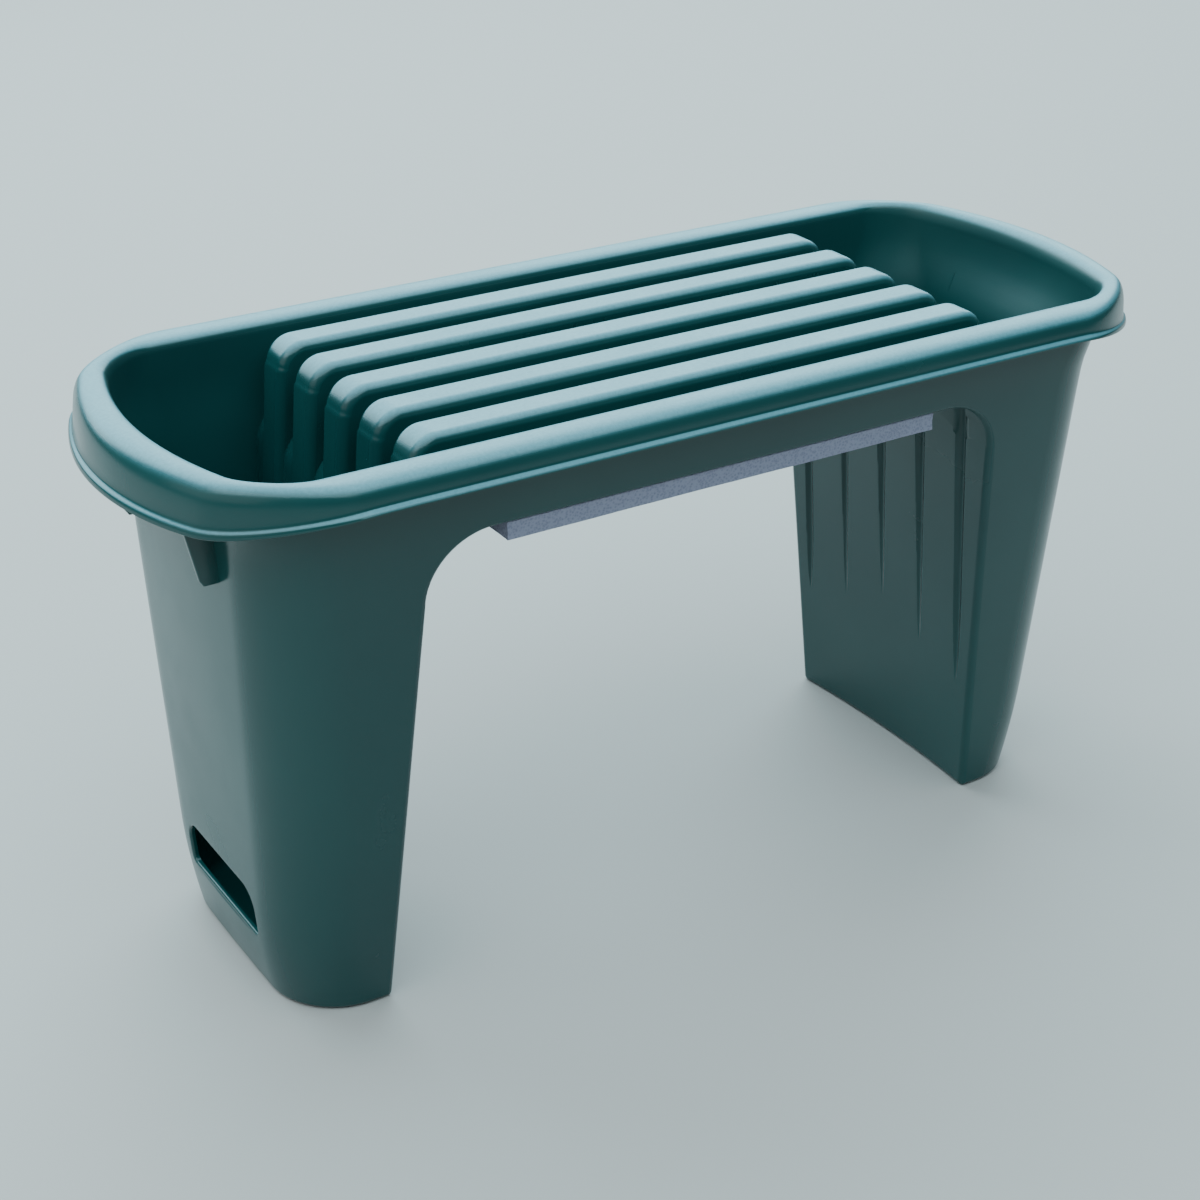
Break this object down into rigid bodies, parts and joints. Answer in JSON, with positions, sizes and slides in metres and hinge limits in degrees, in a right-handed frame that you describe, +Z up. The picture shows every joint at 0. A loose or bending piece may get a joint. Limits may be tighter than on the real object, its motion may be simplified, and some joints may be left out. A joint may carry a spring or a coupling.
{
  "type": "garden kneeler seat",
  "caption": "Moulded plastic garden bench with hollow tool-holding legs and a foam pad under the seat, used upside down as a kneeler.",
  "frame": {"origin": "on the ground at the middle of the footprint", "axes": "+X along the length, +Y from front to back, +Z up with the seat on top"},
  "size_m": [0.6, 0.244, 0.312],
  "materials": {
    "body": "moulded polypropylene, dark green, satin on the rim and ribs and glossy on the legs",
    "foam": "closed-cell foam, matt lavender grey with a fine cell texture",
    "adhesive": "adhesive strip"
  },
  "bodies": {
    "root": {"rim_front": "body", "rim_back": "body", "rim_left": "body", "rim_right": "body", "front_skirt": "body", "back_skirt": "body", "left_leg_wall": "body", "right_leg_wall": "body", "left_knee_wall": "body", "right_knee_wall": "body", "left_pocket_floor": "body", "right_pocket_floor": "body", "seat_rib_1": "body", "seat_rib_2": "body", "seat_rib_3": "body", "seat_rib_4": "body", "seat_rib_5": "body", "seat_valley_1": "body", "seat_valley_2": "body", "seat_valley_3": "body", "seat_valley_4": "body", "seat_valley_5": "body", "seat_valley_6": "body", "left_seat_bend": "body", "right_seat_bend": "body", "left_rib_columns": "body", "right_rib_columns": "body", "left_rim_gussets": "body", "right_rim_gussets": "body", "kneeling_pad": "foam", "pad_adhesive": "adhesive"}
  },
  "joints": []
}
